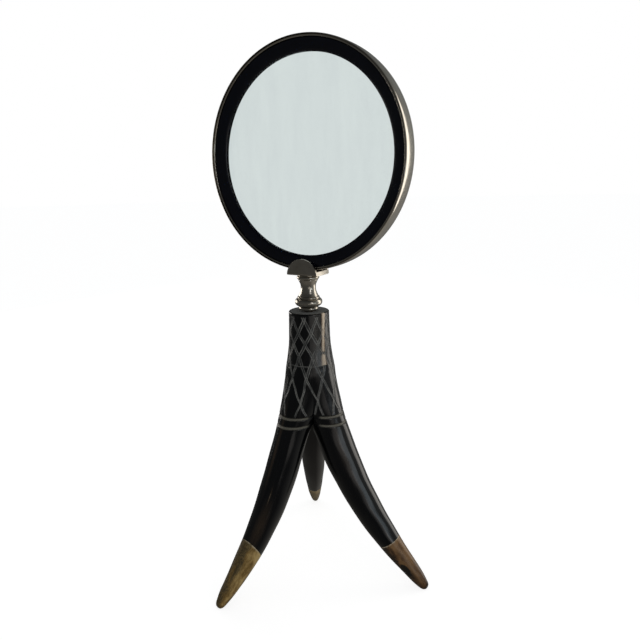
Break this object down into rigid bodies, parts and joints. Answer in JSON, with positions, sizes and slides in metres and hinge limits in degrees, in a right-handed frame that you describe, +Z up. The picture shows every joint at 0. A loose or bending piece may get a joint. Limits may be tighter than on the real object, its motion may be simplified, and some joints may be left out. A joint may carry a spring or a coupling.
{
  "type": "magnifying glass",
  "caption": "Table magnifying glass: a large lens in a nickel and black horn ring, on a turned nickel neck above a tripod of carved curved horns with pale tips.",
  "frame": {"origin": "middle of the object's footprint, on the surface that it stands on", "axes": "+Z up along the stand; -Y the way the front of the lens faces at rest"},
  "size_m": [0.1668, 0.156, 0.384],
  "materials": {
    "nickel": "polished nickel plate, slightly warm and tarnished",
    "steel": "machined",
    "brass": "machined",
    "black_horn": "polished black horn, carved lines left dull grey",
    "tip_horn": "polished olive brown horn",
    "dowel_wood": "plain",
    "lens_glass": "polished, clear"
  },
  "bodies": {
    "stand": {"horn_collar": "black_horn", "threaded_insert": "brass", "collar_ferrule": "nickel", "leg_front_left": "black_horn", "tip_front_left": "tip_horn", "collar_dowel_front_left": "dowel_wood", "tip_dowel_front_left": "dowel_wood", "leg_front_right": "black_horn", "tip_front_right": "tip_horn", "collar_dowel_front_right": "dowel_wood", "tip_dowel_front_right": "dowel_wood", "leg_rear": "black_horn", "tip_rear": "tip_horn", "collar_dowel_rear": "dowel_wood", "tip_dowel_rear": "dowel_wood"},
    "head": {"neck_stud": "steel", "neck": "nickel", "saddle": "nickel", "band_nut": "steel", "bezel_band": "nickel", "bezel_rim_front": "nickel", "bezel_rim_rear": "nickel", "horn_ring_front": "black_horn", "horn_ring_rear": "black_horn", "lens": "lens_glass"}
  },
  "joints": [
    {"name": "head_swivel", "type": "hinge", "parent": "stand", "child": "head", "pos_m": [-0.00786, 0.00394, 0.2075], "axis": [0, 0, 1], "range_deg": [-180, 180]}
  ]
}
